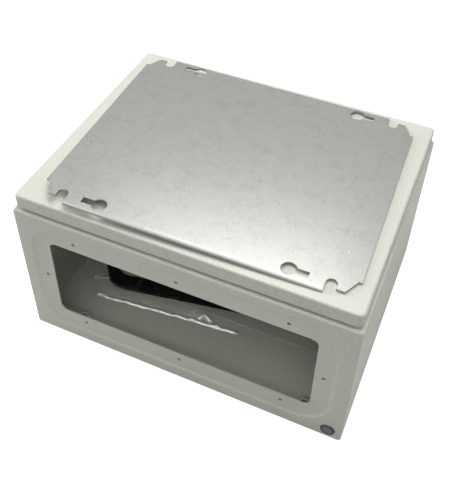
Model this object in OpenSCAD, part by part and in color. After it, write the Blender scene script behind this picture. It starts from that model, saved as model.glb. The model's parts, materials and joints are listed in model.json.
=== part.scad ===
// Steel wall cabinet, lying on its back with its loose mounting plate on the door.
// +Z out of the door, -Y the gland side, +X the hinge side, origin at the middle of the back face.

/* [Cabinet] */
// Outside width
cabinet_w = 380; // [280:1:600]
// Outside height, gland side to top side
cabinet_h = 300; // [240:1:600]
// Outside depth, back face to door face
cabinet_d = 210; // [150:1:320]
// Thickness of the steel sheet
sheet_t = 1.5; // [1:0.1:2]
// Outside radius of the cabinet bends
bend_r = 3; // [2.5:0.5:6]
// Depth of the rim below the door face
rim_drop = 20; // [20:1:30]
// Width of the rim beside the hinges and the lock
rim_side = 20; // [20:0.5:30]
// Width of the rim along the gland side and the top side
rim_end = 9.8; // [9.5:0.1:20]
// Height of the sealing lip above the rim
lip_h = 12; // [11:0.5:13]
// Corner radius of the sealing lip
lip_r = 10; // [5:1:20]

/* [Back panel] */
// Wall holes, in from the hinge side and the lock side
boss_in_x = 49; // [45:0.5:120]
// Wall holes, in from the gland side and the top side
boss_in_y = 24; // [20:0.5:80]
// Wall hole diameter
boss_hole_d = 8.5; // [6:0.5:10]
// Height the boss is pressed inward
boss_h = 4.5; // [1:0.5:6]
// Flat top of the boss
boss_top_d = 14; // [12:0.5:20]
// Foot of the boss
boss_base_d = 24; // [18:0.5:30]

/* [Gland side] */
// Opening, its ends in from the cabinet sides
gland_side = 39; // [36:0.5:120]
// Opening height
gland_h = 112; // [60:1:160]
// Opening corner radius
gland_r = 8; // [2:1:20]
// Middle of the opening above the back face
gland_z = 98.3; // [80:0.1:160]
// Pressed seat beyond the ends of the opening, to the middle of its step
seat_out_x = 21; // [18:0.5:30]
// Pressed seat beyond the long edges of the opening, to the middle of its step
seat_out_y = 24; // [18:0.5:30]
// Pressed seat corner radius
seat_r = 40; // [10:1:60]
// Depth the seat is pressed in
seat_depth = 2; // [1:0.5:3]
// Width of the rounded step round the seat
seat_step = 6; // [4:0.5:10]
// Gland screw hole diameter
gland_hole_d = 4.3; // [3:0.1:6]
// Corner gland screws, in from the ends of the opening
gland_screw_in = 31.5; // [10:0.5:60]
// Rows of gland screws beyond the long edges of the opening
gland_row_out = 10.2; // [6:0.1:14]
// End gland screws beyond the ends of the opening
gland_end_out = 10; // [6:0.1:14]
// Blanking plug, middle from the hinge side
plug_side = 15.3; // [12:0.1:40]
// Blanking plug, middle above the back face
plug_z = 14.8; // [12:0.1:40]
// Blanking plug head diameter
plug_d = 16.5; // [12:0.5:24]
// Blanking plug hole diameter
plug_hole_d = 11; // [8:0.5:14]

/* [Door] */
// Door edge inside the cabinet side
door_inset = 3; // [3:0.1:4]
// Corner radius of the door
door_r = 6; // [4:0.5:12]
// Outside radius of the bend round the door face
door_bend_r = 2.5; // [2:0.5:4]
// Gap between the door edge and the rim
rim_gap = 3.5; // [3.5:0.1:6]
// Width of the door gasket
gasket_w = 9; // [6:0.5:9]

/* [Hinges] */
// Hinge middle to middle
hinge_span = 190; // [120:1:400]
// Hinge pin diameter
hinge_pin_d = 3; // [2:0.1:3]
// Width of the bracket welded to the rim
bracket_w = 28; // [20:1:50]
// Thickness of the bracket head on the pin
bracket_head_t = 4; // [3:0.5:8]
// Thickness of each door lug
lug_t = 3; // [2:0.5:5]

/* [Lock] */
// Lock middle from the lock side
lock_side = 40; // [38:1:60]
// Lock head diameter
lock_head_d = 22; // [20:1:30]
// Lock head height above its seal
lock_head_h = 8; // [5:0.5:12]
// Thickness of the seal ring under the head
lock_seal_t = 1; // [0.5:0.1:2]
// Lock barrel diameter
lock_barrel_d = 20; // [18:0.5:22]
// Lock nut across flats
lock_nut_af = 24; // [22:1:25]
// Lock nut thickness
lock_nut_t = 5; // [3:0.5:8]
// Core diameter of the turning insert
core_d = 12; // [10:0.5:13]
// Reach of the cam from the lock middle
cam_reach = 29; // [25:1:32]
// Cam width
cam_w = 14; // [12:1:18]
// Cam thickness
cam_t = 3; // [2:0.5:4]

/* [Mounting plate] */
// Plate beyond its fixing notches, across the width
plate_over_x = 26; // [22:0.5:40]
// Plate beyond its fixing notches, along the height
plate_over_y = 11.5; // [10:0.5:20]
// Plate thickness
plate_t = 2; // [1.5:0.5:3]
// Outside radius of the bend along the two long edges
plate_bend_r = 3.5; // [3:0.5:5]
// Corner ears, step back from the long edge
ear_drop = 6.8; // [4:0.1:12]
// Fixing notch radius
notch_r = 5.7; // [4:0.1:8]
// Keyholes, in from the fixing notches across the width
keyhole_in_x = 41.3; // [34:0.1:80]
// Keyholes, in from the fixing notches along the height
keyhole_in_y = 0.5; // [0:0.5:40]
// Keyhole head diameter
keyhole_d = 16.2; // [12:0.1:20]
// Keyhole slot width
keyhole_slot_w = 7.3; // [5:0.1:10]
// Keyhole slot reach from the head middle
keyhole_reach = 19.5; // [14:0.5:30]
// Plate middle on the door, across the width
plate_x = 4.1; // [-8:0.1:8]
// Plate middle on the door, along the height
plate_y = -3; // [-8:0.1:8]
// Turn of the loose plate on the door
plate_yaw = 1.7; // [-2:0.1:2]

/* [Packed parts] */
// Gland plate thickness
gland_plate_t = 2; // [2:0.1:3]
// Gland plate edge, in from the middle of the seat's step
gland_plate_in = 2; // [1:0.5:4]
// Gland gasket thickness
gland_gasket_t = 5; // [2:0.5:8]
// Gland gasket inner edge, outside the edge of the opening
gasket_cut = 3; // [1:0.5:4]
// Gland gasket inner corner radius
gasket_cut_r = 19; // [8:1:40]
// Height of the accessory bag
bag_h = 16; // [15:0.5:30]

/* [Hidden] */
$fn = 64;
fit_gap = 0.1;
move_gap = 0.3;
cut_over = 1;
rim_z = cabinet_d - rim_drop;
flat_w = cabinet_w - 2 * bend_r;
flat_h = cabinet_h - 2 * bend_r;
lip_w = cabinet_w - 2 * rim_side;
lip_l = cabinet_h - 2 * rim_end;
lip_z = rim_z + lip_h;
boss_span_x = cabinet_w - 2 * boss_in_x;
boss_span_y = cabinet_h - 2 * boss_in_y;
gland_w = cabinet_w - 2 * gland_side;
seat_w = gland_w + 2 * seat_out_x;
seat_h = gland_h + 2 * seat_out_y;
gland_screw_x = gland_w - 2 * gland_screw_in;
gland_screw_y = gland_h + 2 * gland_row_out;
gland_end_x = gland_w + 2 * gland_end_out;
seat_bend_r = (pow(seat_step, 2) + pow(seat_depth, 2)) / (4 * seat_depth);
seat_sin = seat_step / 2 / seat_bend_r;
seat_cos = 1 - seat_depth / 2 / seat_bend_r;
skin_over = 0.5;
boss_slope = (boss_base_d - boss_top_d) / 2 / boss_h;
boss_cut_r = boss_base_d / 2 + boss_slope * cut_over;
plug_x = cabinet_w / 2 - plug_side;
plug_head_t = 1.2;
plug_stem_l = 2;
plug_barb = 0.4;
door_w = cabinet_w - 2 * door_inset;
door_h = cabinet_h - 2 * door_inset;
door_in_x = door_w / 2 - sheet_t;
door_in_z = cabinet_d - sheet_t;
door_edge_z = rim_z + rim_gap;
hinge_in = 7.6;
hinge_drop = 11;
hinge_x = cabinet_w / 2 - hinge_in;
hinge_z = cabinet_d - hinge_drop;
bracket_hole_r = hinge_pin_d / 2 + move_gap;
bracket_head_r = door_in_x - hinge_x - move_gap;
bracket_foot_t = 1.5;
bracket_foot_in = 2.4;
riser_gap = 2;
riser_t = 2.9;
arm_drop = 0.5;
lug_r = 4.5;
lug_back = 4.4;
lug_corner = 1.3;
lug_gap = 0.5;
stud_d = 6;
stud_l = 16;
stud_top = 40;
stud_y = cabinet_h / 2 - stud_top;
stud_rim = 40;
stud_z = rim_z - stud_rim;
stud_in = 40;
earth_washer_d = 12;
earth_washer_t = 1.6;
earth_nut_af = 10;
earth_nut_t = 5;
lock_x = lock_side - cabinet_w / 2;
lock_head_z = cabinet_d + lock_seal_t;
lock_top_z = lock_head_z + lock_head_h;
lock_edge = 1;
lock_recess_d = 15;
recess_floor_t = 1.5;
lock_floor_z = lock_head_z + recess_floor_t;
lock_seal_d = 24;
cam_gap = 2;
cam_top_z = rim_z - sheet_t - cam_gap;
barrel_gap = 0.5;
barrel_end_z = cam_top_z + barrel_gap;
shoulder_d = 14;
shoulder_t = 1.2;
bit_d = 5;
bit_h = 4;
bit_wing = 9;
bit_wing_t = 2;
drive_sq = 8;
cam_boss_d = 18;
cam_washer_d = 12;
cam_washer_t = 1.2;
cam_screw_d = 5;
cam_screw_l = 14;
cam_screw_head_d = 9;
cam_screw_head_t = 3;
plate_w = boss_span_x + 2 * plate_over_x;
plate_h = boss_span_y + 2 * plate_over_y;
plate_lip = plate_bend_r - plate_t;
plate_flat_y = plate_h / 2 - plate_bend_r;
notch_x = boss_span_x / 2;
notch_y = boss_span_y / 2;
keyhole_x = notch_x - keyhole_in_x;
keyhole_y = notch_y - keyhole_in_y;
main_x = notch_x - notch_r;
ear_y = plate_h / 2 - ear_drop;
ear_inset = 12;
ear_x = plate_w / 2 - ear_inset;
nib = 3.3;
nib_drop = 16.2;
nib_y = ear_y - nib_drop;
rest_gap = 0.25;
head_side_x = lock_x + lock_head_d / 2 - plate_x;
plate_tilt = atan((lock_top_z - cabinet_d - plate_lip) / (main_x - head_side_x));
plate_z = cabinet_d + rest_gap + plate_lip + main_x * tan(plate_tilt);
floor_z = sheet_t;
gland_plate_w = seat_w - 2 * gland_plate_in;
gland_plate_h = seat_h - 2 * gland_plate_in;
gland_plate_r = seat_r - gland_plate_in;
gland_plate_x = 3;
gland_plate_top = 128.5;
gland_plate_y = cabinet_h / 2 - gland_plate_top;
gland_plate_yaw = 0.5;
gland_gasket_x = 1.5;
gland_gasket_top = 117.5;
gland_gasket_y = cabinet_h / 2 - gland_gasket_top;
gland_gasket_yaw = 10.2;
packed_z = floor_z + gland_plate_t;
screw_clear_d = 5;
bag_side = 9;
bag_front = 62;
bag_back = 11;
bag_w = cabinet_w - 2 * bag_side;
bag_l = cabinet_h - bag_front - bag_back;
bag_x = -3;
bag_y = (bag_front - bag_back) / 2;
bag_r = 12;
bag_t = 0.3;
small_screw_d = 4;
small_screw_l = 12;
small_head_d = 8;
small_head_t = 2.6;
bolt_d = 8;
bolt_l = 20;
bolt_af = 13;
bolt_head_t = 5.3;
bolt_nut_t = 6.5;
seal_washer_d = 18;
seal_washer_t = 2;
packed_pitch = 24;
packed_in = 60;
packed_start = packed_in - gland_plate_w / 2;
bolt_row = 45;
nut_row = 0;
washer_row = -24;
small_pitch = 14;
small_in = 130;
small_start = gland_plate_w / 2 - small_in;
small_row = 30;
key_row = -30;
key_in = 110;
key_at = gland_plate_w / 2 - key_in;
key_shank_d = 9;
key_shank_l = 26;
key_bar_l = 34;
key_bar_w = 12;
key_bar_t = 6;
key_socket_l = 9;
key_slot_w = bit_wing + cut_over;

// Flat rectangle with round corners.
module rounded_rect(w, h, r) {
    square([w - 2 * r, h], center = true);
    square([w, h - 2 * r], center = true);
    for (sx = [-1, 1]) {
        for (sy = [-1, 1]) {
            translate([sx * (w / 2 - r), sy * (h / 2 - r)]) circle(r = r);
        }
    }
}

// Section carried round a rectangle; its x starts at the corner centre and runs outward.
module carry_round(w, h, r) {
    for (turn = [0, 180]) {
        rotate([0, 0, turn]) {
            translate([w / 2 - r, h / 2 - r, 0]) {
                rotate([90, 0, 0]) linear_extrude(height = h - 2 * r) children();
                rotate_extrude(angle = 90) children();
            }
            rotate([0, 0, 90]) translate([h / 2 - r, w / 2 - r, 0]) {
                rotate([90, 0, 0]) linear_extrude(height = w - 2 * r) children();
                rotate_extrude(angle = 90) children();
            }
        }
    }
}

// Quarter of a bend in section.
module quarter_bend(r, t) {
    difference() {
        intersection() {
            circle(r = r);
            square([r, r]);
        }
        circle(r = r - t);
    }
}

// Four corners of a rectangle.
module at_corners(w, h) {
    for (sx = [-1, 1]) {
        for (sy = [-1, 1]) {
            translate([sx * w / 2, sy * h / 2, 0]) children();
        }
    }
}

// Gland side: local z runs into the cabinet.
module on_gland_side() {
    translate([0, -cabinet_h / 2, gland_z]) rotate([-90, 0, 0]) children();
}

// Cabinet wall in section with its back bend and its rim bend.
module wall_section() {
    translate([bend_r - sheet_t, bend_r]) square([sheet_t, rim_z - 2 * bend_r]);
    translate([0, rim_z - bend_r]) quarter_bend(bend_r, sheet_t);
    translate([0, bend_r]) mirror([0, 1]) quarter_bend(bend_r, sheet_t);
}

// Rounded step in section: x runs in from the step, y is depth, skin is the depth below the outside.
module step_section(skin, over, reach) {
    join_x = (seat_bend_r - skin) * seat_sin - seat_step / 2;
    join_y = seat_bend_r - (seat_bend_r - skin) * seat_cos;
    difference() {
        translate([-seat_step / 2, skin - over]) square([join_x + seat_step / 2, join_y - skin + over]);
        translate([-seat_step / 2, seat_bend_r]) circle(r = seat_bend_r - skin);
    }
    intersection() {
        translate([join_x, skin - over]) square([seat_step / 2 - join_x, seat_depth + over]);
        translate([seat_step / 2, seat_depth - seat_bend_r]) circle(r = seat_bend_r + skin);
    }
    translate([seat_step / 2, skin - over]) square([reach - seat_step / 2, seat_depth + over]);
}

// Pressed seat as a solid from a little outside the skin down to its surface.
module seat_solid(skin, over) {
    carry_round(seat_w, seat_h, seat_r) {
        translate([seat_r, 0]) mirror([1, 0]) step_section(skin, over, seat_r);
    }
    translate([seat_r - seat_w / 2, seat_r - seat_h / 2, skin - over]) {
        cube([seat_w - 2 * seat_r, seat_h - 2 * seat_r, seat_depth + over]);
    }
}

// Eight gland screw positions.
module at_gland_screws() {
    at_corners(gland_screw_x, gland_screw_y) children();
    for (s = [-1, 1]) {
        translate([0, s * gland_screw_y / 2, 0]) children();
        translate([s * gland_end_x / 2, 0, 0]) children();
    }
}

module body_shell() {
    color([0.78, 0.79, 0.75]) difference() {
        union() {
            carry_round(cabinet_w, cabinet_h, bend_r) wall_section();
            translate([-flat_w / 2, -flat_h / 2, 0]) cube([flat_w, flat_h, sheet_t]);
            translate([-flat_w / 2, -flat_h / 2, rim_z - sheet_t]) cube([flat_w, flat_h, sheet_t]);
            translate([0, 0, rim_z - sheet_t]) {
                linear_extrude(height = sheet_t + lip_h) rounded_rect(lip_w, lip_l, lip_r);
            }
            on_gland_side() seat_solid(sheet_t, skin_over);
            at_corners(boss_span_x, boss_span_y) translate([0, 0, sheet_t]) {
                cylinder(r1 = boss_base_d / 2, r2 = boss_top_d / 2, h = boss_h);
            }
        }
        translate([0, 0, rim_z - sheet_t - cut_over]) {
            linear_extrude(height = sheet_t + lip_h + 2 * cut_over) {
                rounded_rect(lip_w - 2 * sheet_t, lip_l - 2 * sheet_t, lip_r - sheet_t);
            }
        }
        on_gland_side() {
            seat_solid(0, cut_over);
            linear_extrude(height = seat_depth + sheet_t + cut_over) {
                rounded_rect(gland_w, gland_h, gland_r);
            }
            at_gland_screws() cylinder(d = gland_hole_d, h = seat_depth + sheet_t + cut_over);
        }
        translate([plug_x, -cabinet_h / 2, plug_z]) rotate([90, 0, 0]) {
            cylinder(d = plug_hole_d, h = 2 * (sheet_t + cut_over), center = true);
        }
        at_corners(boss_span_x, boss_span_y) {
            translate([0, 0, -cut_over]) {
                cylinder(r1 = boss_cut_r, r2 = boss_top_d / 2, h = boss_h + cut_over);
                cylinder(d = boss_hole_d, h = boss_h + sheet_t + 2 * cut_over);
            }
        }
    }
}

module face_plug() {
    color([0.25, 0.25, 0.24]) translate([plug_x, -cabinet_h / 2, plug_z]) rotate([90, 0, 0]) {
        cylinder(r1 = plug_d / 2, r2 = plug_d / 2 - plug_head_t / 2, h = plug_head_t);
        translate([0, 0, -sheet_t - fit_gap]) {
            cylinder(d = plug_hole_d - 2 * fit_gap, h = sheet_t + fit_gap);
        }
        translate([0, 0, -sheet_t - fit_gap - plug_stem_l]) {
            cylinder(r1 = plug_hole_d / 2 - plug_barb, r2 = plug_hole_d / 2 + plug_barb, h = plug_stem_l);
        }
    }
}

// Bracket in section across the rim, seen along the hinge pin.
module bracket_section() {
    translate([lip_w / 2 + move_gap, rim_z]) {
        square([hinge_x - bracket_foot_in - lip_w / 2 - move_gap, bracket_foot_t]);
    }
    translate([lip_w / 2 + riser_gap, rim_z]) square([riser_t, hinge_z + bracket_head_r - rim_z]);
}

module hinge_brackets() {
    color([0.72, 0.73, 0.72]) for (s = [-1, 1]) {
        translate([0, s * hinge_span / 2, 0]) rotate([90, 0, 0]) difference() {
            union() {
                translate([0, 0, -bracket_w / 2]) linear_extrude(height = bracket_w) bracket_section();
                translate([0, 0, -bracket_head_t / 2]) linear_extrude(height = bracket_head_t) {
                    translate([hinge_x, hinge_z]) circle(r = bracket_head_r);
                    translate([lip_w / 2 + riser_gap, hinge_z + arm_drop]) {
                        square([hinge_x - lip_w / 2 - riser_gap, bracket_head_r - arm_drop]);
                    }
                }
            }
            translate([hinge_x, hinge_z, -bracket_w / 2]) cylinder(r = bracket_hole_r, h = bracket_w);
        }
    }
}

module body_earth_stud() {
    color([0.75, 0.66, 0.5]) translate([cabinet_w / 2 - sheet_t, stud_y, stud_z]) rotate([0, -90, 0]) {
        cylinder(d = stud_d, h = stud_l);
    }
}

// Washer against a wall, bored for the earth stud.
module earth_washer() {
    difference() {
        cylinder(d = earth_washer_d, h = earth_washer_t);
        translate([0, 0, -cut_over]) {
            cylinder(d = stud_d + 2 * fit_gap, h = earth_washer_t + 2 * cut_over);
        }
    }
}

// Hexagon nut standing on its face.
module hex_nut(af, hole_d, t) {
    difference() {
        cylinder(d = af / cos(30), h = t, $fn = 6);
        translate([0, 0, -cut_over]) cylinder(d = hole_d, h = t + 2 * cut_over);
    }
}

module body_earth_washer() {
    color([0.8, 0.8, 0.8]) translate([cabinet_w / 2 - sheet_t, stud_y, stud_z]) rotate([0, -90, 0]) {
        earth_washer();
    }
}

module body_earth_nut() {
    color([0.8, 0.8, 0.8]) translate([cabinet_w / 2 - sheet_t - earth_washer_t, stud_y, stud_z]) {
        rotate([0, -90, 0]) hex_nut(earth_nut_af, stud_d + 2 * fit_gap, earth_nut_t);
    }
}

module gland_plate() {
    color([0.78, 0.79, 0.75]) translate([gland_plate_x, gland_plate_y, floor_z]) {
        rotate([0, 0, gland_plate_yaw]) difference() {
            linear_extrude(height = gland_plate_t) {
                rounded_rect(gland_plate_w, gland_plate_h, gland_plate_r);
            }
            at_gland_screws() translate([0, 0, -cut_over]) {
                cylinder(d = screw_clear_d, h = gland_plate_t + 2 * cut_over);
            }
        }
    }
}

// The foam is pressed thin where a corner lies over a wall hole boss.
module gland_gasket() {
    color([0.12, 0.12, 0.12]) difference() {
        translate([gland_gasket_x, gland_gasket_y, packed_z]) rotate([0, 0, gland_gasket_yaw]) difference() {
            linear_extrude(height = gland_gasket_t) {
                rounded_rect(gland_plate_w, gland_plate_h, gland_plate_r);
            }
            translate([0, 0, -cut_over]) {
                linear_extrude(height = gland_gasket_t + 2 * cut_over) {
                    rounded_rect(gland_w + 2 * gasket_cut, gland_h + 2 * gasket_cut, gasket_cut_r);
                }
                at_gland_screws() cylinder(d = screw_clear_d, h = gland_gasket_t + 2 * cut_over);
            }
        }
        at_corners(boss_span_x, boss_span_y) translate([0, 0, floor_z]) {
            cylinder(r1 = boss_base_d / 2 + fit_gap, r2 = boss_top_d / 2 + fit_gap, h = boss_h + fit_gap);
        }
    }
}

module accessory_bag() {
    color([0.9, 0.92, 0.92, 0.5]) translate([bag_x, bag_y, floor_z]) difference() {
        linear_extrude(height = bag_h) rounded_rect(bag_w, bag_l, bag_r);
        translate([0, 0, -cut_over]) linear_extrude(height = bag_h + cut_over - bag_t) {
            rounded_rect(bag_w - 2 * bag_t, bag_l - 2 * bag_t, bag_r - bag_t);
        }
    }
}

// Frame of the small parts lying inside the gland gasket.
module packed_at(x, y) {
    translate([gland_gasket_x, gland_gasket_y, packed_z]) rotate([0, 0, gland_gasket_yaw]) {
        translate([x, y, 0]) children();
    }
}

module gland_screws() {
    color([0.8, 0.8, 0.8]) for (row = [0, 1]) {
        for (i = [0:3]) {
            packed_at(small_pitch * i + small_start, small_row - row * packed_pitch) {
                translate([0, 0, small_head_d / 2]) rotate([90, 0, 0]) {
                    cylinder(d = small_head_d, h = small_head_t);
                    translate([0, 0, small_head_t]) cylinder(d = small_screw_d, h = small_screw_l);
                }
            }
        }
    }
}

module plate_bolts() {
    color([0.8, 0.8, 0.8]) for (i = [0:3]) {
        packed_at(packed_pitch * i + packed_start, bolt_row) {
            translate([0, 0, bolt_af / 2]) rotate([90, 0, 0]) {
                cylinder(d = bolt_af / cos(30), h = bolt_head_t, $fn = 6);
                cylinder(d = bolt_d, h = bolt_head_t + bolt_l);
            }
        }
    }
}

module plate_nuts() {
    color([0.8, 0.8, 0.8]) for (i = [0:3]) {
        packed_at(packed_pitch * i + packed_start, nut_row) {
            hex_nut(bolt_af, bolt_d + 2 * fit_gap, bolt_nut_t);
        }
    }
}

module sealing_washers() {
    color([0.2, 0.2, 0.2]) for (i = [0:3]) {
        packed_at(packed_pitch * i + packed_start, washer_row) difference() {
            cylinder(d = seal_washer_d, h = seal_washer_t);
            translate([0, 0, -cut_over]) {
                cylinder(d = bolt_d + 2 * fit_gap, h = seal_washer_t + 2 * cut_over);
            }
        }
    }
}

// Double-bit socket section, shared by the lock and its key.
module bit_section(gap) {
    circle(d = bit_d + 2 * gap);
    square([bit_wing + 2 * gap, bit_wing_t + 2 * gap], center = true);
}

module door_key() {
    color([0.3, 0.3, 0.3]) packed_at(key_at, key_row) translate([0, 0, key_bar_t / 2]) {
        translate([key_bar_w / 2 - fit_gap, 0, (key_shank_d - key_bar_t) / 2]) rotate([0, 90, 0]) {
            difference() {
                cylinder(d = key_shank_d, h = key_shank_l);
                translate([0, 0, key_shank_l - key_socket_l]) {
                    cylinder(d = bit_d + 2 * fit_gap, h = key_socket_l + cut_over);
                    translate([0, 0, (key_socket_l + cut_over) / 2]) {
                        cube([bit_wing_t + 2 * fit_gap, key_slot_w, key_socket_l + cut_over], center = true);
                    }
                }
            }
        }
        translate([0, 0, -key_bar_t / 2]) linear_extrude(height = key_bar_t) {
            rounded_rect(key_bar_w, key_bar_l, key_bar_w / 2 - fit_gap);
        }
    }
}

// Door edge in section with the bend round its face.
module door_section() {
    translate([door_r - sheet_t, door_edge_z]) square([sheet_t, cabinet_d - door_bend_r - door_edge_z]);
    translate([door_r - door_bend_r, cabinet_d - door_bend_r]) quarter_bend(door_bend_r, sheet_t);
    translate([0, door_in_z]) square([door_r - door_bend_r, sheet_t]);
}

module door_panel() {
    color([0.86, 0.87, 0.83]) difference() {
        union() {
            carry_round(door_w, door_h, door_r) door_section();
            translate([door_r - door_w / 2, door_r - door_h / 2, door_in_z]) {
                cube([door_w - 2 * door_r, door_h - 2 * door_r, sheet_t]);
            }
        }
        translate([lock_x, 0, door_in_z - cut_over]) {
            cylinder(d = lock_barrel_d + 2 * fit_gap, h = sheet_t + 2 * cut_over);
        }
    }
}

module door_gasket() {
    color([0.15, 0.15, 0.15]) translate([0, 0, lip_z + move_gap]) {
        linear_extrude(height = door_in_z - lip_z - move_gap) difference() {
            rounded_rect(lip_w - sheet_t + gasket_w, lip_l - sheet_t + gasket_w, lip_r + gasket_w / 2);
            rounded_rect(lip_w - sheet_t - gasket_w, lip_l - sheet_t - gasket_w, lip_r - gasket_w / 2);
        }
    }
}

// Door lug in section, seen along the hinge pin.
module lug_section() {
    intersection() {
        union() {
            translate([hinge_x, hinge_z]) circle(r = lug_r);
            polygon([
                [hinge_x - lug_back, hinge_z],
                [hinge_x - lug_back, door_in_z],
                [door_in_x - lug_corner, door_in_z],
                [door_in_x, door_in_z - lug_corner],
                [door_in_x, hinge_z]
            ]);
        }
        translate([hinge_x - 2 * lug_r, rim_z]) square([door_in_x - hinge_x + 2 * lug_r, rim_drop]);
    }
}

module door_hinge_lugs() {
    color([0.72, 0.73, 0.72]) for (s = [-1, 1]) {
        for (side = [-1, 1]) {
            lug_y = s * hinge_span / 2 + side * (bracket_head_t / 2 + lug_gap + lug_t / 2);
            translate([0, lug_y, 0]) rotate([90, 0, 0]) difference() {
                translate([0, 0, -lug_t / 2]) linear_extrude(height = lug_t) lug_section();
                translate([hinge_x, hinge_z, -lug_t]) {
                    cylinder(d = hinge_pin_d + 2 * fit_gap, h = 2 * lug_t);
                }
            }
        }
    }
}

module hinge_pins() {
    color([0.7, 0.7, 0.72]) for (s = [-1, 1]) {
        translate([hinge_x, s * hinge_span / 2, hinge_z]) rotate([90, 0, 0]) {
            cylinder(d = hinge_pin_d, h = bracket_head_t + 2 * lug_gap + 2 * lug_t, center = true);
        }
    }
}

module lock_housing() {
    color([0.7, 0.7, 0.72]) translate([lock_x, 0, 0]) difference() {
        union() {
            translate([0, 0, barrel_end_z]) cylinder(d = lock_barrel_d, h = lock_head_z - barrel_end_z);
            translate([0, 0, lock_head_z]) cylinder(d = lock_head_d, h = lock_head_h - lock_edge);
            translate([0, 0, lock_top_z - lock_edge]) {
                cylinder(r1 = lock_head_d / 2, r2 = lock_head_d / 2 - lock_edge, h = lock_edge);
            }
        }
        translate([0, 0, lock_floor_z]) cylinder(d = lock_recess_d, h = lock_head_h);
        translate([0, 0, barrel_end_z - cut_over]) {
            cylinder(d = core_d + 2 * move_gap, h = rim_drop + lock_head_h);
        }
    }
}

module lock_seal() {
    color([0.1, 0.1, 0.1]) translate([lock_x, 0, cabinet_d]) difference() {
        cylinder(d = lock_seal_d, h = lock_seal_t);
        translate([0, 0, -cut_over]) {
            cylinder(d = lock_barrel_d + 2 * fit_gap, h = lock_seal_t + 2 * cut_over);
        }
    }
}

module lock_nut() {
    color([0.75, 0.75, 0.77]) translate([lock_x, 0, door_in_z - lock_nut_t]) {
        hex_nut(lock_nut_af, lock_barrel_d + 2 * fit_gap, lock_nut_t);
    }
}

module door_earth_stud() {
    color([0.75, 0.66, 0.5]) translate([hinge_x - stud_in, stud_y, door_in_z - stud_l]) {
        cylinder(d = stud_d, h = stud_l);
    }
}

module door_earth_washer() {
    color([0.8, 0.8, 0.8]) translate([hinge_x - stud_in, stud_y, door_in_z - earth_washer_t]) {
        earth_washer();
    }
}

module door_earth_nut() {
    color([0.8, 0.8, 0.8]) translate([hinge_x - stud_in, stud_y, door_in_z - earth_washer_t - earth_nut_t]) {
        hex_nut(earth_nut_af, stud_d + 2 * fit_gap, earth_nut_t);
    }
}

module lock_insert() {
    shoulder_z = lock_floor_z + move_gap;
    color([0.62, 0.62, 0.64]) translate([lock_x, 0, 0]) difference() {
        union() {
            translate([0, 0, cam_top_z]) cylinder(d = core_d, h = shoulder_z - cam_top_z);
            translate([0, 0, shoulder_z]) cylinder(d = shoulder_d, h = shoulder_t);
            translate([0, 0, shoulder_z + shoulder_t]) linear_extrude(height = bit_h) bit_section(0);
            translate([-drive_sq / 2, -drive_sq / 2, cam_top_z - cam_t]) cube([drive_sq, drive_sq, cam_t]);
        }
        translate([0, 0, cam_top_z - cam_t - cut_over]) {
            cylinder(d = cam_screw_d + 2 * fit_gap, h = cam_screw_l + cut_over);
        }
    }
}

module lock_cam() {
    color([0.75, 0.75, 0.77]) translate([lock_x, 0, cam_top_z - cam_t]) linear_extrude(height = cam_t) {
        difference() {
            union() {
                circle(d = cam_boss_d);
                translate([-cam_w / 2, 0]) square([cam_w, cam_reach - cam_w / 2]);
                translate([0, cam_reach - cam_w / 2]) circle(d = cam_w);
            }
            square(drive_sq + 2 * fit_gap, center = true);
        }
    }
}

module cam_washer() {
    color([0.8, 0.8, 0.8]) translate([lock_x, 0, cam_top_z - cam_t - cam_washer_t]) difference() {
        cylinder(d = cam_washer_d, h = cam_washer_t);
        translate([0, 0, -cut_over]) {
            cylinder(d = cam_screw_d + 2 * fit_gap, h = cam_washer_t + 2 * cut_over);
        }
    }
}

module cam_screw() {
    color([0.8, 0.8, 0.8]) translate([lock_x, 0, cam_top_z - cam_t - cam_washer_t]) {
        translate([0, 0, -cam_screw_head_t]) cylinder(d = cam_screw_head_d, h = cam_screw_head_t);
        cylinder(d = cam_screw_d, h = cam_screw_l);
    }
}

// Outline of the plate without the two long bends.
module plate_outline() {
    polygon([
        [plate_w / 2, nib_y], [plate_w / 2 - nib, nib_y], [ear_x, ear_y], [main_x, ear_y],
        [main_x, plate_flat_y], [-main_x, plate_flat_y],
        [-main_x, ear_y], [-ear_x, ear_y], [nib - plate_w / 2, nib_y], [-plate_w / 2, nib_y],
        [-plate_w / 2, -nib_y], [nib - plate_w / 2, -nib_y], [-ear_x, -ear_y], [-main_x, -ear_y],
        [-main_x, -plate_flat_y], [main_x, -plate_flat_y],
        [main_x, -ear_y], [ear_x, -ear_y], [plate_w / 2 - nib, -nib_y], [plate_w / 2, -nib_y]
    ]);
}

// Openings at one corner of the plate.
module plate_corner_openings() {
    translate([notch_x, notch_y]) circle(r = notch_r);
    translate([notch_x - notch_r, notch_y]) square([2 * notch_r, ear_y - notch_y + cut_over]);
    translate([keyhole_x, keyhole_y]) {
        circle(d = keyhole_d);
        translate([0, -keyhole_slot_w / 2]) square([keyhole_reach, keyhole_slot_w]);
    }
}

module mounting_plate() {
    color([0.82, 0.83, 0.84]) translate([plate_x, plate_y, plate_z]) rotate([0, plate_tilt, plate_yaw]) {
        linear_extrude(height = plate_t) difference() {
            plate_outline();
            for (mx = [0, 1]) {
                for (my = [0, 1]) {
                    mirror([mx, 0]) mirror([0, my]) plate_corner_openings();
                }
            }
        }
        for (my = [0, 1]) {
            mirror([0, my, 0]) translate([-main_x, plate_flat_y, -plate_lip]) rotate([90, 0, 90]) {
                linear_extrude(height = 2 * main_x) quarter_bend(plate_bend_r, plate_t);
            }
        }
    }
}

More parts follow.
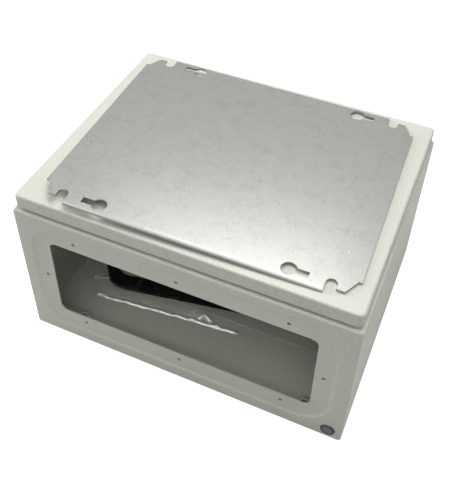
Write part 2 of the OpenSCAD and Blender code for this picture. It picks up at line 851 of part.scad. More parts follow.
body_shell();
face_plug();
hinge_brackets();
body_earth_stud();
body_earth_washer();
body_earth_nut();
gland_plate();
gland_gasket();
accessory_bag();
gland_screws();
plate_bolts();
plate_nuts();
sealing_washers();
door_key();
door_panel();
door_gasket();
door_hinge_lugs();
hinge_pins();
lock_housing();
lock_seal();
lock_nut();
door_earth_stud();
door_earth_washer();
door_earth_nut();
lock_insert();
lock_cam();
cam_washer();
cam_screw();
mounting_plate();
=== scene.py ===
import json
import math

import bpy
from mathutils import Euler, Matrix, Vector, noise


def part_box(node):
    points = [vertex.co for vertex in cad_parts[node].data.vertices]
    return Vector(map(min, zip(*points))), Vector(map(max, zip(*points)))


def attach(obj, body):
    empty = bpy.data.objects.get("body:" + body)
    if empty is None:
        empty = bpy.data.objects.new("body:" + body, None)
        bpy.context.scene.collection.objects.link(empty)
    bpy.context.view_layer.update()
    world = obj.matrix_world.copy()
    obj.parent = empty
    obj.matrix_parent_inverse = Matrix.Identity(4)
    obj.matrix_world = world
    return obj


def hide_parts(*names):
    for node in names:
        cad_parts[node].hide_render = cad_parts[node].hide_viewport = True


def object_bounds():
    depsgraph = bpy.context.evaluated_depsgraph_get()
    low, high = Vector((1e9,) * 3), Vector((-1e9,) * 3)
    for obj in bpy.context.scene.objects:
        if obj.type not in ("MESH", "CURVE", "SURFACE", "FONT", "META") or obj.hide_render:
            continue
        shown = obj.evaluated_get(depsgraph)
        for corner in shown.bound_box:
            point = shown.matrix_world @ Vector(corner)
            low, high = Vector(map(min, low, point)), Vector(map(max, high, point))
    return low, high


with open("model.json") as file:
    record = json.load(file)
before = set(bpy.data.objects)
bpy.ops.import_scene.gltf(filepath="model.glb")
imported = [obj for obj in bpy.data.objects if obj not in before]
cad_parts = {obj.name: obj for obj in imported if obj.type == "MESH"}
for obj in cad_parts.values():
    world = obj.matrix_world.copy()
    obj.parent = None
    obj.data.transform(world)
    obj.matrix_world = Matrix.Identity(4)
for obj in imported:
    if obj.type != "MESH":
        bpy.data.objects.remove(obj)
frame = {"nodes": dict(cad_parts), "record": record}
cad_low, cad_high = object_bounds()

MM = 0.001


# Camera ---------------------------------------------------------------------------------------------------

# Where it stands, in millimetres, and how it is turned, in degrees: tipped up from looking straight down,
# rolled, and swung round the upright.
CAMERA_PLACE = Vector((230.063, -567.628, 746.267))
CAMERA_TURN = (48.705, -0.857, 23.863)
# Sensor and lens in millimetres, and the rise of the frame as a share of its width.
SENSOR_WIDTH, LENS, FRAME_RISE = 36, 56.053, -0.16667
# Nearest and farthest that it sees, in metres.
NEAREST, FARTHEST = 0.02, 20


def set_camera():
    """Standing in front of the gland side, a little to the hinge side, looking down."""
    data = bpy.data.cameras.new("bench_camera")
    data.sensor_width = SENSOR_WIDTH
    data.lens = LENS
    data.shift_y = FRAME_RISE
    data.clip_start, data.clip_end = NEAREST, FARTHEST
    camera = bpy.data.objects.new("bench_camera", data)
    bpy.context.scene.collection.objects.link(camera)
    turn = Euler([math.radians(angle) for angle in CAMERA_TURN])
    camera.matrix_world = Matrix.LocRotScale(CAMERA_PLACE * MM, turn, None)
    bpy.context.scene.camera = camera


# Material tools -------------------------------------------------------------------------------------------

def hex_colour(code):
    """sRGB hex to the linear values a shader takes."""
    parts = [int(code[i:i + 2], 16) / 255 for i in (0, 2, 4)]
    return [c / 12.92 if c <= 0.04045 else ((c + 0.055) / 1.055) ** 2.4 for c in parts] + [1.0]


def add(tree, kind, settings=None, links=None):
    """One node with its settings, and with its inputs set or linked."""
    made = tree.nodes.new(kind)
    for key, value in (settings or {}).items():
        setattr(made, key, value)
    for key, value in (links or {}).items():
        if isinstance(value, bpy.types.NodeSocket):
            tree.links.new(value, made.inputs[key])
        else:
            made.inputs[key].default_value = value
    return made


def new_material(name):
    made = bpy.data.materials.new(name)
    made.use_nodes = True
    made.node_tree.nodes.clear()
    return made, made.node_tree


# A Mix node set to colours, and its sockets by number: the share of the second colour, and both colours.
COLOURS = {"data_type": "RGBA"}
SHARE, FIRST, SECOND = 0, 6, 7


# Finishes -------------------------------------------------------------------------------------------------

def polyester_powder_coat(name, light, dark):
    """Light grey polyester powder coat, sprayed and baked: a fine orange peel and a soft, low sheen."""
    made, tree = new_material(name)
    place = add(tree, "ShaderNodeTexCoord").outputs["Object"]
    # orange peel about 1 mm across, drawn at 2 mm so that it shows
    peel = add(tree, "ShaderNodeTexNoise", None, {"Vector": place, "Scale": 500.0, "Detail": 2.0}).outputs[0]
    # the coat's thickness drifts over about 90 mm
    drift = add(tree, "ShaderNodeTexNoise", None, {"Vector": place, "Scale": 11.0, "Detail": 3.0}).outputs[0]
    # which shows less in the tone than the peel does
    drift_share = 0.25
    grain = add(tree, "ShaderNodeMath", {"operation": "MULTIPLY_ADD"}, {
        0: drift, 1: drift_share, 2: peel}).outputs[0]
    shade = add(tree, "ShaderNodeMapRange", None, {
        "Value": grain, "From Min": 0.44, "From Max": 0.82}).outputs[0]
    tone = add(tree, "ShaderNodeMix", COLOURS, {
        SHARE: shade, FIRST: hex_colour(light), SECOND: hex_colour(dark)}).outputs[2]
    gloss = add(tree, "ShaderNodeMapRange", None, {
        "Value": peel, "From Min": 0.3, "From Max": 0.7, "To Min": 0.36, "To Max": 0.46}).outputs[0]
    bump = add(tree, "ShaderNodeBump", None, {
        "Height": peel, "Distance": 0.00025, "Strength": 0.5}).outputs[0]
    skin = add(tree, "ShaderNodeBsdfPrincipled", None, {
        "Base Color": tone, "Roughness": gloss, "IOR": 1.5, "Normal": bump})
    add(tree, "ShaderNodeOutputMaterial", None, {"Surface": skin.outputs[0]})
    return made


def zinc_plated_sheet(name):
    """Rolled steel sheet, zinc plated and dulled: cloudy, with rolling lines, smudges and a few specks."""
    made, tree = new_material(name)
    place = add(tree, "ShaderNodeTexCoord").outputs["Object"]
    # plating bloom 2.5 mm across
    bloom = add(tree, "ShaderNodeTexNoise", None, {
        "Vector": place, "Scale": 400.0, "Detail": 3.0, "Roughness": 0.6}).outputs[0]
    # handling smudges 15 mm across
    smudge = add(tree, "ShaderNodeTexNoise", None, {
        "Vector": place, "Scale": 65.0, "Detail": 4.0, "Roughness": 0.7, "Distortion": 0.4}).outputs[0]
    # rolling lines about 1.5 mm apart and 30 mm long
    along = add(tree, "ShaderNodeMapping", None, {"Vector": place, "Scale": (0.05, 1, 1)}).outputs[0]
    rolled = add(tree, "ShaderNodeTexNoise", None, {
        "Vector": along, "Scale": 650.0, "Detail": 2.0}).outputs[0]
    # dust specks about 1 mm across, some 50 mm apart
    dust = add(tree, "ShaderNodeTexVoronoi", None, {"Vector": place, "Scale": 19.0}).outputs["Distance"]
    smudged = add(tree, "ShaderNodeMapRange", None, {
        "Value": smudge, "From Min": 0.48, "From Max": 0.72}).outputs[0]
    bloomed = add(tree, "ShaderNodeMapRange", None, {
        "Value": bloom, "From Min": 0.40, "From Max": 0.75}).outputs[0]
    dusty = add(tree, "ShaderNodeMapRange", None, {
        "Value": dust, "From Min": 0.010, "From Max": 0.020, "To Min": 1.0, "To Max": 0.0}).outputs[0]
    tone = add(tree, "ShaderNodeMix", COLOURS, {
        SHARE: smudged, FIRST: hex_colour("9D9F9B"), SECOND: hex_colour("939591")}).outputs[2]
    tone = add(tree, "ShaderNodeMix", COLOURS, {
        SHARE: bloomed, FIRST: tone, SECOND: hex_colour("A5A6A1")}).outputs[2]
    tone = add(tree, "ShaderNodeMix", COLOURS, {
        SHARE: dusty, FIRST: tone, SECOND: hex_colour("E8E8E4")}).outputs[2]
    gloss = add(tree, "ShaderNodeMapRange", None, {
        "Value": bloom, "From Min": 0.3, "From Max": 0.7, "To Min": 0.30, "To Max": 0.38}).outputs[0]
    height = add(tree, "ShaderNodeMath", {"operation": "ADD"}, {0: bloom, 1: rolled}).outputs[0]
    bump = add(tree, "ShaderNodeBump", None, {
        "Height": height, "Distance": 0.00003, "Strength": 0.25}).outputs[0]
    skin = add(tree, "ShaderNodeBsdfPrincipled", None, {
        "Base Color": tone, "Metallic": 1.0, "Roughness": gloss, "Normal": bump})
    add(tree, "ShaderNodeOutputMaterial", None, {"Surface": skin.outputs[0]})
    return made


def bright_zinc(name):
    """Turned and pressed steel fasteners, bright zinc plated: clean metal with a slight bloom."""
    made, tree = new_material(name)
    place = add(tree, "ShaderNodeTexCoord").outputs["Object"]
    # bloom 2.5 mm across
    bloom = add(tree, "ShaderNodeTexNoise", None, {
        "Vector": place, "Scale": 400.0, "Detail": 3.0}).outputs[0]
    tone = add(tree, "ShaderNodeMix", COLOURS, {
        SHARE: bloom, FIRST: hex_colour("B9BCBE"), SECOND: hex_colour("CFD1D0")}).outputs[2]
    gloss = add(tree, "ShaderNodeMapRange", None, {
        "Value": bloom, "From Min": 0.3, "From Max": 0.7, "To Min": 0.24, "To Max": 0.38}).outputs[0]
    bump = add(tree, "ShaderNodeBump", None, {
        "Height": bloom, "Distance": 0.00002, "Strength": 0.3}).outputs[0]
    skin = add(tree, "ShaderNodeBsdfPrincipled", None, {
        "Base Color": tone, "Metallic": 1.0, "Roughness": gloss, "Normal": bump})
    add(tree, "ShaderNodeOutputMaterial", None, {"Surface": skin.outputs[0]})
    return made


def chromed_zinc_casting(name):
    """Zinc die casting, satin chrome plated: smooth and even, softly bright."""
    made, tree = new_material(name)
    place = add(tree, "ShaderNodeTexCoord").outputs["Object"]
    # casting skin about 1.2 mm across
    cast = add(tree, "ShaderNodeTexNoise", None, {"Vector": place, "Scale": 830.0, "Detail": 2.0}).outputs[0]
    tone = add(tree, "ShaderNodeMix", COLOURS, {
        SHARE: cast, FIRST: hex_colour("B4B5B8"), SECOND: hex_colour("C3C4C6")}).outputs[2]
    gloss = add(tree, "ShaderNodeMapRange", None, {
        "Value": cast, "From Min": 0.3, "From Max": 0.7, "To Min": 0.20, "To Max": 0.30}).outputs[0]
    bump = add(tree, "ShaderNodeBump", None, {
        "Height": cast, "Distance": 0.00001, "Strength": 0.3}).outputs[0]
    skin = add(tree, "ShaderNodeBsdfPrincipled", None, {
        "Base Color": tone, "Metallic": 1.0, "Roughness": gloss, "Normal": bump})
    add(tree, "ShaderNodeOutputMaterial", None, {"Surface": skin.outputs[0]})
    return made


def copper_flashed_steel(name):
    """Weld stud with a thin copper flash, brown where it has oxidised."""
    made, tree = new_material(name)
    place = add(tree, "ShaderNodeTexCoord").outputs["Object"]
    # tarnish 3 mm across
    tarnish = add(tree, "ShaderNodeTexNoise", None, {
        "Vector": place, "Scale": 330.0, "Detail": 3.0}).outputs[0]
    tone = add(tree, "ShaderNodeMix", COLOURS, {
        SHARE: tarnish, FIRST: hex_colour("B9805C"), SECOND: hex_colour("8E5F44")}).outputs[2]
    gloss = add(tree, "ShaderNodeMapRange", None, {
        "Value": tarnish, "From Min": 0.3, "From Max": 0.7, "To Min": 0.30, "To Max": 0.45}).outputs[0]
    bump = add(tree, "ShaderNodeBump", None, {
        "Height": tarnish, "Distance": 0.00002, "Strength": 0.3}).outputs[0]
    skin = add(tree, "ShaderNodeBsdfPrincipled", None, {
        "Base Color": tone, "Metallic": 1.0, "Roughness": gloss, "Normal": bump})
    add(tree, "ShaderNodeOutputMaterial", None, {"Surface": skin.outputs[0]})
    return made


def closed_cell_foam(name):
    """Closed-cell EPDM foam, black and matt, with small cells showing where it is cut."""
    made, tree = new_material(name)
    place = add(tree, "ShaderNodeTexCoord").outputs["Object"]
    # cells about 0.5 mm across, drawn at 1.5 mm so that they show
    cells = add(tree, "ShaderNodeTexVoronoi", None, {"Vector": place, "Scale": 650.0}).outputs["Distance"]
    wall = add(tree, "ShaderNodeMapRange", None, {
        "Value": cells, "From Min": 0.1, "From Max": 0.6}).outputs[0]
    tone = add(tree, "ShaderNodeMix", COLOURS, {
        SHARE: wall, FIRST: hex_colour("050505"), SECOND: hex_colour("0D0D0D")}).outputs[2]
    bump = add(tree, "ShaderNodeBump", None, {
        "Height": cells, "Distance": 0.00015, "Strength": 0.4}).outputs[0]
    skin = add(tree, "ShaderNodeBsdfPrincipled", None, {
        "Base Color": tone, "Roughness": 0.95, "IOR": 1.25, "Normal": bump})
    add(tree, "ShaderNodeOutputMaterial", None, {"Surface": skin.outputs[0]})
    return made


def moulded_polyamide(name):
    """Injection moulded black polyamide, with the fine spark-eroded grain of its tool."""
    made, tree = new_material(name)
    place = add(tree, "ShaderNodeTexCoord").outputs["Object"]
    # pits about 0.1 mm across, drawn at 0.8 mm so that they show
    pits = add(tree, "ShaderNodeTexNoise", None, {
        "Vector": place, "Scale": 1250.0, "Detail": 2.0}).outputs[0]
    tone = add(tree, "ShaderNodeMix", COLOURS, {
        SHARE: pits, FIRST: hex_colour("1C1C1C"), SECOND: hex_colour("262626")}).outputs[2]
    gloss = add(tree, "ShaderNodeMapRange", None, {
        "Value": pits, "From Min": 0.3, "From Max": 0.7, "To Min": 0.45, "To Max": 0.58}).outputs[0]
    bump = add(tree, "ShaderNodeBump", None, {
        "Height": pits, "Distance": 0.00003, "Strength": 0.4}).outputs[0]
    skin = add(tree, "ShaderNodeBsdfPrincipled", None, {
        "Base Color": tone, "Roughness": gloss, "IOR": 1.53, "Normal": bump})
    add(tree, "ShaderNodeOutputMaterial", None, {"Surface": skin.outputs[0]})
    return made


def plug_polyethylene_pale_middle(name, node):
    """Moulded polyethylene blanking plug: pale grey in the middle, dark towards its rim."""
    low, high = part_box(node)
    middle = ((low.x + high.x) / 2, low.y, (low.z + high.z) / 2)
    made, tree = new_material(name)
    place = add(tree, "ShaderNodeTexCoord").outputs["Object"]
    # mottling 3 mm across
    plug_mottle = add(tree, "ShaderNodeTexNoise", None, {"Vector": place, "Scale": 330.0, "Detail": 3.0}).outputs[0]
    away = add(tree, "ShaderNodeVectorMath", {"operation": "DISTANCE"}, {
        0: place, 1: middle}).outputs["Value"]
    # which make the rim of the pale middle ragged; the distances are in metres
    raggedness, pale_up_to, dark_from = 0.004, 0.0062, 0.0082
    edge = add(tree, "ShaderNodeMath", {"operation": "MULTIPLY_ADD"}, {
        0: plug_mottle, 1: raggedness, 2: away}).outputs[0]
    rim = add(tree, "ShaderNodeMapRange", None, {
        "Value": edge, "From Min": pale_up_to, "From Max": dark_from}).outputs[0]
    tone = add(tree, "ShaderNodeMix", COLOURS, {
        SHARE: rim, FIRST: hex_colour("6E6F69"), SECOND: hex_colour("2B2C2A")}).outputs[2]
    gloss = add(tree, "ShaderNodeMapRange", None, {
        "Value": plug_mottle, "From Min": 0.3, "From Max": 0.7, "To Min": 0.35, "To Max": 0.50}).outputs[0]
    bump = add(tree, "ShaderNodeBump", None, {
        "Height": plug_mottle, "Distance": 0.00005, "Strength": 0.3}).outputs[0]
    skin = add(tree, "ShaderNodeBsdfPrincipled", None, {
        "Base Color": tone, "Roughness": gloss, "IOR": 1.51, "Normal": bump})
    add(tree, "ShaderNodeOutputMaterial", None, {"Surface": skin.outputs[0]})
    return made


def polyethylene_film(name):
    """Clear low-density polyethylene film, 0.05 mm: nearly unseen where flat, milky where it folds."""
    made, tree = new_material(name)
    place = add(tree, "ShaderNodeTexCoord").outputs["Object"]
    # whiteness from the folds, and from a painted highlight patch at the lock side end
    fold_and_highlight = add(tree, "ShaderNodeAttribute", {"attribute_name": "fold_and_highlight"}).outputs["Fac"]
    # fine crumpling 6 mm across
    crumple = add(tree, "ShaderNodeTexNoise", None, {
        "Vector": place, "Scale": 160.0, "Detail": 4.0, "Roughness": 0.6, "Distortion": 1.2}).outputs[0]
    haze = add(tree, "ShaderNodeMapRange", None, {
        "Value": crumple, "From Min": 0.54, "From Max": 0.78, "To Min": 0.008, "To Max": 0.09}).outputs[0]
    veil = add(tree, "ShaderNodeMath", {"operation": "ADD", "use_clamp": True}, {
        0: haze, 1: fold_and_highlight}).outputs[0]
    bump = add(tree, "ShaderNodeBump", None, {
        "Height": crumple, "Distance": 0.0008, "Strength": 0.7}).outputs[0]
    # several plies lie together in a fold, which shines where one ply hardly does; the painted highlight
    # patch shines the same way
    shine = add(tree, "ShaderNodeMapRange", None, {
        "Value": fold_and_highlight, "From Min": 0.2, "From Max": 1.0, "To Min": 0.0, "To Max": 0.5}).outputs[0]
    skin = add(tree, "ShaderNodeBsdfPrincipled", None, {
        "Base Color": hex_colour("FAFBFA"), "Metallic": shine, "Roughness": 0.36, "IOR": 1.51,
        "Specular IOR Level": 0.8, "Alpha": veil, "Normal": bump})
    add(tree, "ShaderNodeOutputMaterial", None, {"Surface": skin.outputs[0]})
    return made


# Bag ------------------------------------------------------------------------------------------------------

# Sizes and places here are in millimetres.

# Front edge of the bag, as places on the cabinet floor from the lock side to the hinge side.
BAG_FRONT = [(-183, -46), (-172, -68), (-158, -84), (-147, -90.5), (-118, -87.8), (-74, -83), (-22, -77.6),
             (35, -72.2), (70, -60), (178, -24)]
# How far its back edge lies inside the room that the bag takes up.
BAG_BACK_IN = 3
# The bottom film runs from the cabinet floor onto the gland plate, a little above both.
FLOOR_TO_PLATE, OVER_FLOOR = (-64, -52), 0.15
# The top film climbs over the gasket between these distances from the front edge, with a clearance.
GASKET_CLIMB, OVER_GASKET = (3, 16), 0.6
# It lies on the heaps of small parts, each with the width of its slope down round them, and sags into them.
HEAP_SLOPES = [("plate_bolts", 22), ("plate_nuts", 16), ("sealing_washers", 10), ("gland_screws", 16),
               ("door_key", 16)]
HEAP_SAG = 0.2
# Near the hem it comes down to the bottom film over these widths.
HEM_AT_GASKET, HEM_AT_HEAPS = 14, 10
# Its slow waves and its fine crumpling: height, and the length, depth and pattern of the swells.
WAVE_RISE, WAVES = 0.9, (24, 15, 1.3)
CRUMPLE_RISE, CRUMPLES = 0.35, (7, 6, 7.1)
# The front edge is folded over, and that fold comes in and fades out over these stretches.
FRONT_FOLD_COMES, FRONT_FOLD_FADES = (-150, -143), (30, 44)
# How far behind the edge it lies, and its half width.
FRONT_FOLD_IN, FRONT_FOLD_HALF = 2.6, 2.8
# Its height, how much that varies, and with which swells: along the fold only, so they are read on one row.
FRONT_FOLD_RISE, RISE_CHANGE, RISE_SWELLS, RISE_ROW = 2.8, 1.4, (11, 1, 0), 3.1
# Its whiteness, how much that varies, and with which swells.
FRONT_FOLD_WHITE, WHITE_CHANGE, WHITE_SWELLS = 1.1, 0.5, (6, 2.5, 2)
# Sharp folds in the top film: from, to, height, half width, whiteness.
BAG_FOLDS = [((-24, -76), (-8, -65.5), 1.6, 1.5, 0.75), ((-8, -65.5), (13, -71), 1.8, 1.5, 0.85),
             ((-147, -88.5), (-130, -83), 1.6, 1.2, 0.6), ((-164, -49), (-158, -69), 2.0, 1.2, 0.35),
             ((-158, -70), (-142, -64.5), 2.4, 1.7, 0.85), ((-142, -64), (-156, -46), 1.6, 1.2, 0.35)]
# Share of its height at which such a fold starts, and what it gains on the way to its end.
FOLD_START, FOLD_GAIN = 0.55, 0.45
# Corners of a painted highlight at the lock side end, a patch where the film is made whiter to stand for a
# reflection, its whiteness and its soft edge.
BAG_PAINTED_HIGHLIGHT = [(-158, -69.5), (-142, -64), (-156, -45), (-164.6, -48.8)]
PAINTED_HIGHLIGHT_WHITE, PAINTED_HIGHLIGHT_EDGE = 0.30, (-0.5, 1.0)
# Milky veil behind the front fold: whiteness, how much of the film it covers, where it fades, its swells.
VEIL_WHITE, VEIL_COVER, VEIL_FADES, VEIL_SWELLS = 0.30, 0.25, (6, 26), (16, 5, 4.4)
# Least distance between the films, room kept above the top one, and the whitest that a fold gets.
THINNEST, ROOM_ABOVE, WHITEST = 0.2, 0.4, 0.9
# Grid of each film, with rows that crowd toward the folds at the front edge.
BAG_COLUMNS, BAG_ROWS, ROW_CROWDING = 340, 120, 1.7
# Points of the two films that are this close are joined.
HEM_WELD = 0.02


def smooth_step(value, low, high):
    """0 up to low, 1 from high on, and a smooth rise between."""
    t = max(0.0, min(1.0, (value - low) / (high - low)))
    return t * t * (3 - 2 * t)


def uneven(x, y, swells):
    """Smooth noise from -1 to 1."""
    length, depth, pattern = swells
    return noise.noise(Vector((x / length, y / depth, pattern)))


def near_line(x, y, a, b):
    """Distance from a line piece in the floor plane, and how far along it the nearest point is, 0 to 1."""
    dx, dy = b[0] - a[0], b[1] - a[1]
    along = max(0.0, min(1.0, ((x - a[0]) * dx + (y - a[1]) * dy) / (dx * dx + dy * dy)))
    return math.hypot(x - a[0] - along * dx, y - a[1] - along * dy), along


def inside_painted_highlight(x, y):
    """How far a place lies inside the painted highlight patch, negative outside."""
    depth = math.inf
    for (x0, y0), (x1, y1) in zip(BAG_PAINTED_HIGHLIGHT, BAG_PAINTED_HIGHLIGHT[1:] + BAG_PAINTED_HIGHLIGHT[:1]):
        dx, dy = x1 - x0, y1 - y0
        depth = min(depth, (dx * (y - y0) - dy * (x - x0)) / math.hypot(dx, dy))
    return depth


def bag_front_at(x):
    """Where the front edge of the bag is, at a place along it."""
    for (x0, y0), (x1, y1) in zip(BAG_FRONT, BAG_FRONT[1:]):
        if x <= x1:
            return y0 + (y1 - y0) * (x - x0) / (x1 - x0)
    return BAG_FRONT[-1][1]


def node_box_mm(node):
    low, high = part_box(node)
    return [v / MM for v in low], [v / MM for v in high]


def film_over_parts(x, y, base, behind, hem, gasket_top, heaps):
    """How far the gasket and the heaps of small parts hold up the top film."""
    lift = gasket_top - base + OVER_GASKET
    lift *= smooth_step(behind, *GASKET_CLIMB) * smooth_step(hem, 0, HEM_AT_GASKET)
    for (low, high), slope in heaps:
        away = math.hypot(max(low[0] - x, 0, x - high[0]), max(low[1] - y, 0, y - high[1]))
        heap = (high[2] - base - HEAP_SAG) * (1 - smooth_step(away, 0, slope))
        lift = max(lift, heap * smooth_step(hem, 0, HEM_AT_HEAPS))
    return lift


def film_folds_and_highlight(x, y, behind):
    """How far the folds raise the top film, and how white they and the painted highlight patch make it."""
    shown = smooth_step(x, *FRONT_FOLD_COMES) * (1 - smooth_step(x, *FRONT_FOLD_FADES))
    ridge = math.exp(-((behind - FRONT_FOLD_IN) / FRONT_FOLD_HALF) ** 2) * shown
    rise = ridge * (FRONT_FOLD_RISE + RISE_CHANGE * uneven(x, RISE_ROW, RISE_SWELLS))
    white = ridge * (FRONT_FOLD_WHITE + WHITE_CHANGE * uneven(x, y, WHITE_SWELLS))
    for start, end, height, half, whiteness in BAG_FOLDS:
        away, along = near_line(x, y, start, end)
        sharp = math.exp(-(away / half) ** 2)
        rise += height * sharp * (FOLD_START + FOLD_GAIN * along)
        white += whiteness * sharp
    # painted highlight: the film is made whiter in this patch to stand for a reflection
    white += PAINTED_HIGHLIGHT_WHITE * smooth_step(inside_painted_highlight(x, y), *PAINTED_HIGHLIGHT_EDGE)
    veil = max(0.0, uneven(x, y, VEIL_SWELLS) + VEIL_COVER)
    white += VEIL_WHITE * veil * (1 - smooth_step(behind, *VEIL_FADES)) * shown
    return rise, min(WHITEST, white)


def bag_points():
    """Points of the top film and then of the bottom one, row by row, and how white each is made by its folds
    and by the painted highlight.
    """
    low, high = node_box_mm("accessory_bag")
    gasket_low, gasket_high = node_box_mm("gland_gasket")
    heaps = [(node_box_mm(node), slope) for node, slope in HEAP_SLOPES]
    left, right, back = BAG_FRONT[0][0], BAG_FRONT[-1][0], high[1] - BAG_BACK_IN
    points, folds_and_highlight = [], []
    for top in (True, False):
        for j in range(BAG_ROWS + 1):
            for i in range(BAG_COLUMNS + 1):
                x = left + (right - left) * i / BAG_COLUMNS
                front = bag_front_at(x)
                y = front + (back - front) * (j / BAG_ROWS) ** ROW_CROWDING
                z = low[2] + (gasket_low[2] - low[2]) * smooth_step(y, *FLOOR_TO_PLATE) + OVER_FLOOR
                hem = min(y - front, back - y, x - left, right - x)
                fold_and_highlight = 0.0
                if top and hem > 0:
                    lift = film_over_parts(x, y, z, y - front, hem, gasket_high[2], heaps)
                    swell = WAVE_RISE * uneven(x, y, WAVES) + CRUMPLE_RISE * uneven(x, y, CRUMPLES)
                    lift += swell * smooth_step(hem, 0, HEM_AT_HEAPS)
                    rise, fold_and_highlight = film_folds_and_highlight(x, y, y - front)
                    z = min(z + max(THINNEST, lift + rise), high[2] - ROOM_ABOVE)
                points.append(Vector((x, y, z)) * MM)
                folds_and_highlight.append(fold_and_highlight)
    return points, folds_and_highlight


def accessory_bag_film(finish):
    """A closed bag of clear film round the gland gasket and the small parts: two films joined at the hem."""
    points, folds_and_highlight = bag_points()
    row = BAG_COLUMNS + 1
    bottom = row * (BAG_ROWS + 1)
    faces = []
    for j in range(BAG_ROWS):
        for i in range(BAG_COLUMNS):
            a = j * row + i
            b = bottom + a
            faces.append((a, a + 1, a + row + 1, a + row))
            faces.append((b, b + row, b + row + 1, b + 1))
    mesh = bpy.data.meshes.new("bag_film")
    mesh.from_pydata(points, [], faces)
    marks = mesh.attributes.new("fold_and_highlight", "FLOAT", "POINT")
    marks.data.foreach_set("value", folds_and_highlight)
    mesh.polygons.foreach_set("use_smooth", [True] * len(faces))
    film = bpy.data.objects.new("bag_film", mesh)
    bpy.context.scene.collection.objects.link(film)
    weld = film.modifiers.new("hem", "WELD")
    weld.merge_threshold = HEM_WELD * MM
    film.data.materials.append(finish)
    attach(film, "cabinet")
    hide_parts("accessory_bag")


# Room -----------------------------------------------------------------------------------------------------

# Sizes and places here are in metres.

# Lamp, its place, what it points at, its size and its watts.
LAMPS = [
    ("overhead_softbox", (0.30, -0.10, 1.10), (0.20, -0.10, 0.20), (0.5, 0.5), 3.2),
    ("near_softbox", (-0.04, 0.12, 0.80), (0.0, 0.0, 0.20), (0.45, 0.4), 2.1),
    ("lock_side_softbox", (-1.39, 0.0, 0.71), (0, 0, 0.15), (0.8, 0.8), 18.5),
    ("front_softbox", (-0.17, -0.95, 1.30), (0, 0, 0.15), (1.6, 0.6), 5.5),
    ("front_hinge_softbox", (0.48, -0.84, 1.30), (0, 0, 0.15), (0.8, 0.8), 2.2),
    ("hinge_side_softbox", (1.28, 0.46, 0.78), (0, 0, 0.15), (0.8, 0.6), 4.6),
]
# Strength of the white all round: as seen and mirrored, and as a light.
SEEN_WHITE, FILL_LIGHT = 1.0, 0.03
# The bench top: half its side, its gap under the cabinet, its glow, and how far under the cabinet it glows.
BENCH_HALF, BENCH_DROP, BENCH_GLOW, GLOW_IN = 4.0, 0.0004, 0.8, 0.002


def surroundings():
    """White all round, for the camera and for mirroring surfaces; the lamps do the lighting."""
    world = bpy.data.worlds.new("studio")
    bpy.context.scene.world = world
    world.use_nodes = True
    tree = world.node_tree
    tree.nodes.clear()
    path = add(tree, "ShaderNodeLightPath")
    seen = add(tree, "ShaderNodeMath", {"operation": "MAXIMUM"}, {
        0: path.outputs["Is Camera Ray"], 1: path.outputs["Is Transmission Ray"]}).outputs[0]
    seen = add(tree, "ShaderNodeMath", {"operation": "MAXIMUM"}, {
        0: seen, 1: path.outputs["Is Glossy Ray"]}).outputs[0]
    level = add(tree, "ShaderNodeMapRange", None, {
        "Value": seen, "To Min": FILL_LIGHT, "To Max": SEEN_WHITE}).outputs[0]
    sky = add(tree, "ShaderNodeBackground", None, {"Color": hex_colour("FFFFFF"), "Strength": level})
    add(tree, "ShaderNodeOutputWorld", None, {"Surface": sky.outputs[0]})


def softboxes():
    for name, place, aim, size, watts in LAMPS:
        data = bpy.data.lights.new(name, "AREA")
        data.shape = "RECTANGLE"
        data.size, data.size_y = size
        data.energy = watts
        lamp = bpy.data.objects.new(name, data)
        bpy.context.scene.collection.objects.link(lamp)
        lamp.location = place
        lamp.rotation_euler = (Vector(aim) - Vector(place)).to_track_quat("-Z", "Y").to_euler()
        lamp.visible_camera = False


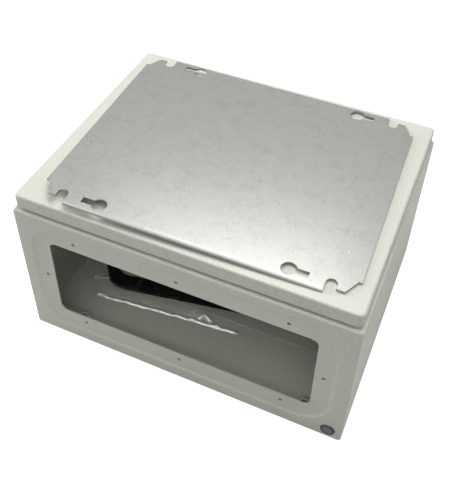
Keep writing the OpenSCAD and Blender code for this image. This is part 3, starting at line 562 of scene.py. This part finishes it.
def white_bench_paint():
    """White painted bench top, glowing a little for the camera, except under the cabinet."""
    made, tree = new_material("white_bench")
    path = add(tree, "ShaderNodeLightPath")
    # no glow under the cabinet, so that its wall holes look into the dark
    place = add(tree, "ShaderNodeTexCoord").outputs["Object"]
    place = add(tree, "ShaderNodeVectorMath", {"operation": "ABSOLUTE"}, {0: place}).outputs[0]
    axes = add(tree, "ShaderNodeSeparateXYZ", None, {0: place})
    beyond_x = add(tree, "ShaderNodeMath", {"operation": "GREATER_THAN"}, {
        0: axes.outputs["X"], 1: cad_high.x - GLOW_IN}).outputs[0]
    beyond_y = add(tree, "ShaderNodeMath", {"operation": "GREATER_THAN"}, {
        0: axes.outputs["Y"], 1: cad_high.y - GLOW_IN}).outputs[0]
    beyond = add(tree, "ShaderNodeMath", {"operation": "MAXIMUM"}, {0: beyond_x, 1: beyond_y}).outputs[0]
    shown = add(tree, "ShaderNodeMath", {"operation": "MULTIPLY"}, {
        0: beyond, 1: path.outputs["Is Camera Ray"]}).outputs[0]
    level = add(tree, "ShaderNodeMath", {"operation": "MULTIPLY"}, {
        0: shown, 1: BENCH_GLOW}).outputs[0]
    paint = add(tree, "ShaderNodeBsdfDiffuse", None, {"Color": hex_colour("E6E6E6")})
    glow = add(tree, "ShaderNodeEmission", None, {"Color": hex_colour("FFFFFF"), "Strength": level})
    both = add(tree, "ShaderNodeAddShader", None, {0: paint.outputs[0], 1: glow.outputs[0]})
    add(tree, "ShaderNodeOutputMaterial", None, {"Surface": both.outputs[0]})
    return made


def bench_top():
    half = BENCH_HALF
    mesh = bpy.data.meshes.new("bench_top")
    corners = [(-half, -half, 0), (half, -half, 0), (half, half, 0), (-half, half, 0)]
    mesh.from_pydata(corners, [], [(0, 1, 2, 3)])
    bench = bpy.data.objects.new("bench_top", mesh)
    bench.location.z = -BENCH_DROP
    bpy.context.scene.collection.objects.link(bench)
    bench.data.materials.append(white_bench_paint())


set_camera()

coat = polyester_powder_coat("cabinet_powder_coat", "CDCFC4", "C0C2B7")
finishes = {
    "powder_coat": coat,
    "door_coat": coat,
    "zinc_sheet": zinc_plated_sheet("mounting_plate_zinc"),
    "zinc_fastener": bright_zinc("fastener_zinc"),
    "die_cast": chromed_zinc_casting("lock_chrome"),
    "copper_stud": copper_flashed_steel("earth_stud_copper"),
    "foam_rubber": closed_cell_foam("gasket_foam"),
    "black_plastic": moulded_polyamide("key_polyamide"),
    "plug_plastic": plug_polyethylene_pale_middle("plug_polyethylene", "face_plug"),
    "clear_film": polyethylene_film("bag_polyethylene"),
}
for part in frame["record"]["subparts"]:
    mesh = frame["nodes"][part["node"]].data
    mesh.materials.clear()
    mesh.materials.append(finishes[part["material_slot"]])

accessory_bag_film(finishes["clear_film"])
surroundings()
softboxes()
bench_top()
bpy.context.scene.view_settings.view_transform = "Standard"
